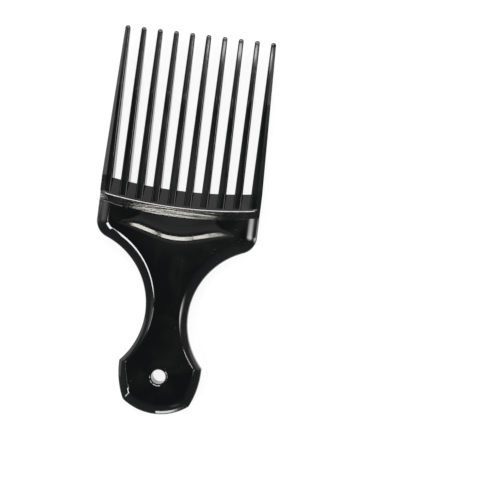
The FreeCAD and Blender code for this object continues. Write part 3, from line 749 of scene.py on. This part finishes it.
class PICK_OT_teeth(bpy.types.Operator):
    """Models one inner tooth and one outermost tooth, and sets their copies in the notches"""
    bl_idname = "pick.teeth"
    bl_label = "Teeth"

    def execute(self, context):
        s, bar, tooth = context.scene.pick_handle, context.scene.pick_bar, context.scene.pick_teeth
        finish = plastic("tooth_plastic", TOOTH_STRETCH)
        piece, heights = inner_tooth(s, bar, tooth)
        bridge_up(piece, heights)
        pick(piece, "EDGE", lambda e: across(e, heights[-1]))
        dome(heights[-1], tooth.dome, 0)
        close_up(piece, TOUCH)
        for number, name in enumerate(TEETH[1:-1], start=1):
            x = tooth_place(s, tooth, number)
            self.place(piece, name, x, tooth_floor(s, bar, tooth, x) - heights[0], heights[1], finish)
        bpy.data.objects.remove(piece)

        piece = self.outer_tooth(s, bar, tooth)
        for name, side in ((TEETH[-1], 1), (TEETH[0], -1)):
            copy = copy_for(piece, name)
            if side < 0:
                bpy.ops.transform.mirror(constraint_axis=(True, False, False))
                bpy.ops.object.transform_apply(location=True, rotation=True, scale=True)
                close_up(copy, TOUCH)
            settle(copy, name, finish)
        bpy.data.objects.remove(piece)
        return {"FINISHED"}

    def place(self, piece, name, x, lift, ridge, finish):
        """Sets a copy of the inner tooth in its notch, with its root lifted to the notch's floor."""
        copy = copy_for(piece, name)
        edit(copy)
        pick(copy, "VERT", lambda v: v.co.y < ridge + MERGE)
        bpy.ops.transform.translate(value=(0, lift, 0))
        bpy.ops.mesh.select_all(action="SELECT")
        bpy.ops.transform.translate(value=(x, 0, 0))
        bpy.ops.object.mode_set(mode="OBJECT")
        settle(copy, name, finish)

    def outer_tooth(self, s, bar, tooth):
        """Outermost tooth on the right: its section slopes to a thin outer wall at the root."""
        x = tooth_place(s, tooth, len(TEETH) - 1)
        half, wide = s.width / 2, tooth.width / 2
        root, ridge = tooth_floor(s, bar, tooth, x), tooth_ridge(s, bar, x)
        end = TIP - tooth.dome
        face, edge = s.thickness / 2, s.edge / 2
        slope_run = bar.rim_tooth * (tooth.depth / 2 - edge) / (face - edge)
        tip_half = tooth.tip_width / 2
        root_wall = edge + s.rim_roll * (tooth.depth / 2 - edge)
        piece = new_piece("pick_tooth")
        bpy.ops.mesh.delete(type="VERT")
        bend = tooth.bend
        corner = TIP_CORNER * tooth.tip_width
        loops = []
        for height, part, depth in ((root, 0.0, tooth.depth), (ridge, 0.0, tooth.depth),
                                    (ridge + (end - ridge) * bend, bend, tooth.bend_depth),
                                    (end, 1.0, tooth.tip_depth)):
            inner = (x - wide) * (1 - part) + (x - tip_half) * part
            outer = half * (1 - part) + (x + tip_half) * part
            shoulder = (half - slope_run) * (1 - part) + (x + tip_half - corner) * part
            wall = root_wall * (1 - part) + tooth.tip_wall / 2 * part
            loops.append((height, inner, shoulder, outer, depth / 2, wall))
        loops[2:] = [*between(loops[1], loops[2]), loops[2], *between(loops[2], loops[3]), loops[3]]
        for height, inner, shoulder, outer, depth, wall in loops:
            self.outer_section(piece, height, inner, shoulder, outer, depth, wall, tooth.rounding)
        bridge_up(piece, [loop[0] for loop in loops])
        pick(piece, "EDGE", lambda e: across(e, end))
        dome(end, tooth.dome, x)
        close_up(piece, TOUCH)
        return piece

    def outer_section(self, piece, height, inner, shoulder, outer, depth, wall, rounding):
        """Adds one loop: an oblong whose outer corners are pulled back to the thin wall."""
        middle = Vector(((inner + outer) / 2, height, MID))
        bpy.ops.mesh.primitive_plane_add(size=1, location=middle, rotation=(math.pi / 2, 0, 0))
        bpy.ops.transform.resize(value=(outer - inner, 1, 2 * depth), center_override=middle)
        radius = min(rounding, TOOTH_ROUND_LIMIT * (outer - inner))

        def on_inner(v):
            return meets(v.co.y, height) and meets(v.co.x, inner)

        def on_outer(v):
            return meets(v.co.y, height) and meets(v.co.x, outer)

        pick(piece, "VERT", on_outer)
        bpy.ops.mesh.bevel(offset=outer - shoulder, segments=1, affect="VERTICES")
        for side in (1, -1):
            pick(piece, "VERT", lambda v: on_outer(v) and v.co.z * side > 0)
            z = next(v.co.z for v in bmesh.from_edit_mesh(piece.data).verts if v.select)
            bpy.ops.transform.translate(value=(0, 0, side * wall - z))
        pick(piece, "VERT", on_inner)
        bpy.ops.mesh.bevel(offset=radius, segments=7, affect="VERTICES")
        pick(piece, "FACE", lambda f: across(f, height))
        bpy.ops.mesh.delete(type="ONLY_FACE")


def new_group(name, inputs, outputs):
    """Empty shader node group with named sockets."""
    group = bpy.data.node_groups.new(name, "ShaderNodeTree")
    for socket, kind, default in inputs:
        item = group.interface.new_socket(socket, in_out="INPUT", socket_type=kind)
        item.default_value = default
    for socket, kind in outputs:
        group.interface.new_socket(socket, in_out="OUTPUT", socket_type=kind)
    return group, group.nodes.new("NodeGroupInput"), group.nodes.new("NodeGroupOutput")


def feed(tree, value, socket):
    """Links another node's output to an input, or sets the input's value."""
    if isinstance(value, bpy.types.NodeSocket):
        tree.links.new(value, socket)
    else:
        socket.default_value = value


def add(tree, kind, inputs=None, **settings):
    """Adds a node with its settings, then feeds its inputs."""
    node = tree.nodes.new(kind)
    for setting, value in settings.items():
        setattr(node, setting, value)
    for socket, value in (inputs or {}).items():
        feed(tree, value, node.inputs[socket])
    return node


def math_node(tree, operation, *values):
    """Adds a math node fed by numbers or outputs, and gives its result."""
    node = add(tree, "ShaderNodeMath", dict(enumerate(values)), operation=operation)
    return node.outputs[0]


def noise(tree, place, scale, detail, distortion=0.0):
    """Adds a noise texture and gives its value."""
    inputs = {"Vector": place, "Scale": scale, "Detail": detail, "Distortion": distortion}
    return add(tree, "ShaderNodeTexNoise", inputs).outputs[0]


def moulding_ripple():
    """Group for the faint waves that cooling leaves in moulded plastic."""
    if "Moulding ripple" in bpy.data.node_groups:
        return bpy.data.node_groups["Moulding ripple"]
    group, source, out = new_group(
        "Moulding ripple",
        [("Stretch", "NodeSocketVector", (1.0, 1.0, 1.0)), ("Amount", "NodeSocketFloat", 1.0),
         ("Fine", "NodeSocketFloat", 0.12)],
        [("Height", "NodeSocketFloat")])
    place = add(group, "ShaderNodeTexCoord").outputs["Object"]
    stretch = add(group, "ShaderNodeVectorMath", {0: place, 1: source.outputs["Stretch"]}, operation="MULTIPLY")
    broad = noise(group, stretch.outputs[0], 140.0, 1.5)
    fine = noise(group, stretch.outputs[0], 620.0, 1.0)
    both = math_node(group, "ADD", broad, math_node(group, "MULTIPLY", fine, source.outputs["Fine"]))
    feed(group, math_node(group, "MULTIPLY", both, source.outputs["Amount"]), out.inputs["Height"])
    return group


def handling_marks():
    """Group for smudges, hairline scratches and specks of dust on handled plastic."""
    if "Handling marks" in bpy.data.node_groups:
        return bpy.data.node_groups["Handling marks"]
    group, source, out = new_group(
        "Handling marks",
        [("Gloss", "NodeSocketFloat", 0.06), ("Smudge", "NodeSocketFloat", 0.1),
         ("Plastic", "NodeSocketColor", (0.01, 0.01, 0.01, 1.0)),
         ("Dust", "NodeSocketColor", (0.1, 0.1, 0.1, 1.0))],
        [("Color", "NodeSocketColor"), ("Roughness", "NodeSocketFloat"),
         ("Scratch Height", "NodeSocketFloat")])
    place = add(group, "ShaderNodeTexCoord").outputs["Object"]
    cloud = noise(group, place, 75.0, 5.0, 0.8)
    patch = add(group, "ShaderNodeMapRange", {"Value": cloud, "From Min": 0.5, "From Max": 0.72}).outputs[0]
    smudge = math_node(group, "MULTIPLY", patch, source.outputs["Smudge"])
    lines = []
    for turn, wide, seed in HAIRLINES:
        mapping = add(group, "ShaderNodeMapping", {
            "Vector": place,
            "Rotation": (0.0, 0.0, turn),
            "Scale": (wide, HAIR_STRETCH, HAIR_STRETCH),
            "Location": (seed, seed, 0.0),
        })
        hair = noise(group, mapping.outputs[0], 1.0, 0.0)
        lines.append(math_node(group, "GREATER_THAN", hair, HAIR_RARITY))
    scratch = math_node(group, "MAXIMUM", math_node(group, "MAXIMUM", lines[0], lines[1]), lines[2])
    feed(group, math_node(group, "MULTIPLY", scratch, -1.0), out.inputs["Scratch Height"])
    rough = math_node(group, "ADD", math_node(group, "ADD", source.outputs["Gloss"], smudge),
                      math_node(group, "MULTIPLY", scratch, 0.03))
    feed(group, rough, out.inputs["Roughness"])
    speck = add(group, "ShaderNodeTexVoronoi", {"Vector": place, "Scale": 700.0})
    dot = math_node(group, "LESS_THAN", speck.outputs["Distance"], 0.06)
    sparse = math_node(group, "GREATER_THAN", cloud, 0.56)
    mask = math_node(group, "ADD", math_node(group, "MULTIPLY", dot, sparse),
                     math_node(group, "MULTIPLY", patch, 0.03))
    colours = {"Factor": mask, "A": source.outputs["Plastic"], "B": source.outputs["Dust"]}
    mix = add(group, "ShaderNodeMix", colours, data_type="RGBA")
    feed(group, mix.outputs["Result"], out.inputs["Color"])
    return group


def plastic(name, stretch, wave=1.0, fine=0.12):
    """Glossy black moulded plastic, with its ripple stretched to suit a piece."""
    finish = bpy.context.scene.pick_finish
    material = bpy.data.materials.new(name)
    material.use_nodes = True
    tree = material.node_tree
    marks = add(tree, "ShaderNodeGroup", {
        "Gloss": finish.gloss,
        "Smudge": finish.smudge,
        "Plastic": (*finish.black, 1.0),
        "Dust": (*finish.dust, 1.0),
    }, node_tree=handling_marks())
    waves = {"Stretch": stretch, "Amount": wave, "Fine": fine}
    ripple = add(tree, "ShaderNodeGroup", waves, node_tree=moulding_ripple())
    wave_bump = add(tree, "ShaderNodeBump", {
        "Strength": finish.ripple,
        "Distance": RIPPLE_HEIGHT,
        "Height": ripple.outputs["Height"],
    })
    scratch_bump = add(tree, "ShaderNodeBump", {
        "Strength": finish.scratch,
        "Distance": SCRATCH_DEPTH,
        "Height": marks.outputs["Scratch Height"],
        "Normal": wave_bump.outputs["Normal"],
    })
    shader = tree.nodes["Principled BSDF"]
    feed(tree, PLASTIC_IOR, shader.inputs["IOR"])
    feed(tree, marks.outputs["Color"], shader.inputs["Base Color"])
    feed(tree, marks.outputs["Roughness"], shader.inputs["Roughness"])
    feed(tree, scratch_bump.outputs["Normal"], shader.inputs["Normal"])
    return material


def towards(azimuth, polar):
    """Direction at an azimuth, and at an angle off the vertical, both in degrees."""
    a, p = math.radians(azimuth), math.radians(polar)
    return Vector((math.cos(a) * math.sin(p), math.sin(a) * math.sin(p), math.cos(p)))


def softbox(name, azimuth, polar, distance, width, height, radiance, tint):
    """Area light seen from the pick at an azimuth and an angle off the vertical."""
    direction = towards(azimuth, polar)
    data = bpy.data.lights.new(name, "AREA")
    data.shape = "RECTANGLE"
    data.size, data.size_y = width, height
    data.energy = radiance * math.pi * width * height
    data.color = tint
    lamp = bpy.data.objects.new(name, data)
    lamp.location = direction * distance
    lamp.rotation_euler = direction.to_track_quat("Z", "Y").to_euler()
    bpy.context.scene.collection.objects.link(lamp)
    return lamp


class PICK_OT_stage(bpy.types.Operator):
    """Sets up the pale floor, soft light and the camera"""
    bl_idname = "pick.stage"
    bl_label = "Stage"

    def execute(self, context):
        scene, stage = context.scene, context.scene.pick_stage
        self.floor(stage)
        self.lights()
        self.camera(scene, stage)
        scene.view_settings.view_transform = "Standard"
        return {"FINISHED"}

    def floor(self, stage):
        deselect()
        bpy.ops.mesh.primitive_circle_add(vertices=64, radius=4.0, fill_type="NGON", location=(0, 0, 0))
        floor = bpy.context.object
        floor.name = "floor"
        material = bpy.data.materials.new("floor_paper")
        material.use_nodes = True
        tree = material.node_tree
        shader = tree.nodes["Principled BSDF"]
        shader.inputs["Base Color"].default_value = (*stage.floor, 1.0)
        shader.inputs["Roughness"].default_value = 0.9
        glow = add(tree, "ShaderNodeEmission")
        glow.inputs["Color"].default_value = (1.0, 1.0, 1.0, 1.0)
        path = add(tree, "ShaderNodeLightPath")
        seen = math_node(tree, "MAXIMUM", path.outputs["Is Camera Ray"],
                         math_node(tree, "MAXIMUM", path.outputs["Is Glossy Ray"],
                                   path.outputs["Is Transmission Ray"]))
        mix = add(tree, "ShaderNodeMixShader")
        tree.links.new(math_node(tree, "MULTIPLY", seen, stage.glow), mix.inputs[0])
        tree.links.new(shader.outputs[0], mix.inputs[1])
        tree.links.new(glow.outputs[0], mix.inputs[2])
        tree.links.new(mix.outputs[0], tree.nodes["Material Output"].inputs["Surface"])
        floor.data.materials.append(material)
        deselect()

    def lights(self):
        lamps = {name: softbox(name, *settings) for name, *settings in LAMPS}
        for name, x in FAR_LAMP_X.items():
            lamps[name].location.x = x
        for name, shift in NEAR_LAMP_SHIFTS.items():
            lamps[name].location += shift
            lamps[name].visible_camera = False
        world = bpy.data.worlds.new("studio")
        bpy.context.scene.world = world
        world.use_nodes = True
        tree = world.node_tree
        place = add(tree, "ShaderNodeTexCoord").outputs["Generated"]
        split = add(tree, "ShaderNodeSeparateXYZ", {0: place})
        ramp = add(tree, "ShaderNodeValToRGB", {0: split.outputs["Z"]})
        ramp.color_ramp.elements[0].position = 0.0
        ramp.color_ramp.elements[0].color = SKY_LOW
        ramp.color_ramp.elements[1].position = 0.97
        ramp.color_ramp.elements[1].color = SKY_TOP
        middle = ramp.color_ramp.elements.new(0.5)
        middle.color = SKY_MIDDLE
        total = ramp.outputs[0]
        for patch in HAZE:
            total = self.haze(tree, place, total, *patch)
        tree.links.new(total, tree.nodes["Background"].inputs["Color"])

    def haze(self, tree, place, total, azimuth, polar, spread, strength):
        """Adds a soft patch of pale sky about one direction."""
        aim = {0: place, 1: towards(azimuth, polar)}
        dot = add(tree, "ShaderNodeVectorMath", aim, operation="DOT_PRODUCT")
        near = add(tree, "ShaderNodeMapRange", {"Value": dot.outputs["Value"], "From Min": 1.0 - spread})
        patch = math_node(tree, "MULTIPLY", math_node(tree, "POWER", near.outputs[0], HAZE_FALL), strength)
        mix = add(tree, "ShaderNodeMix", {"Factor": 1.0, "A": total, "B": patch},
                  data_type="RGBA", blend_type="ADD", clamp_factor=False)
        return mix.outputs["Result"]

    def camera(self, scene, stage):
        data = bpy.data.cameras.new("camera")
        data.sensor_width = 36.0
        data.lens = data.sensor_width * stage.camera_distance / stage.view_width
        camera = bpy.data.objects.new("camera", data)
        camera.location = Vector(stage.centre) + Vector((0, 0, stage.camera_distance))
        camera.rotation_euler = (0, 0, stage.roll)
        scene.collection.objects.link(camera)
        scene.camera = camera


class PICK_PT_panel(bpy.types.Panel):
    """Lists the pick's sizes and the steps that model it"""
    bl_idname = "PICK_PT_panel"
    bl_label = "Afro Pick"
    bl_space_type = "VIEW_3D"
    bl_region_type = "UI"
    bl_category = "Afro Pick"

    def draw(self, context):
        for step in STEPS:
            self.layout.operator(step.bl_idname)
        for name in GROUPS:
            box = self.layout.box()
            group = getattr(context.scene, name)
            for size in group.bl_rna.properties.keys():
                if size not in ("name", "rna_type"):
                    box.prop(group, size)


STEPS = (PICK_OT_handle, PICK_OT_tooth_bar, PICK_OT_teeth, PICK_OT_stage)
GROUPS = {
    "pick_handle": PickHandleSizes,
    "pick_bar": PickBarSizes,
    "pick_teeth": PickToothSizes,
    "pick_finish": PickFinish,
    "pick_stage": PickStage,
}


def register():
    for group in (*GROUPS.values(), *STEPS, PICK_PT_panel):
        bpy.utils.register_class(group)
    for name, group in GROUPS.items():
        setattr(bpy.types.Scene, name, PointerProperty(type=group))


def unregister():
    for name in GROUPS:
        delattr(bpy.types.Scene, name)
    for group in reversed((*GROUPS.values(), *STEPS, PICK_PT_panel)):
        bpy.utils.unregister_class(group)


def main():
    register()
    bpy.ops.pick.handle()
    bpy.ops.pick.tooth_bar()
    bpy.ops.pick.teeth()
    bpy.ops.pick.stage()


if __name__ == "__main__":
    main()
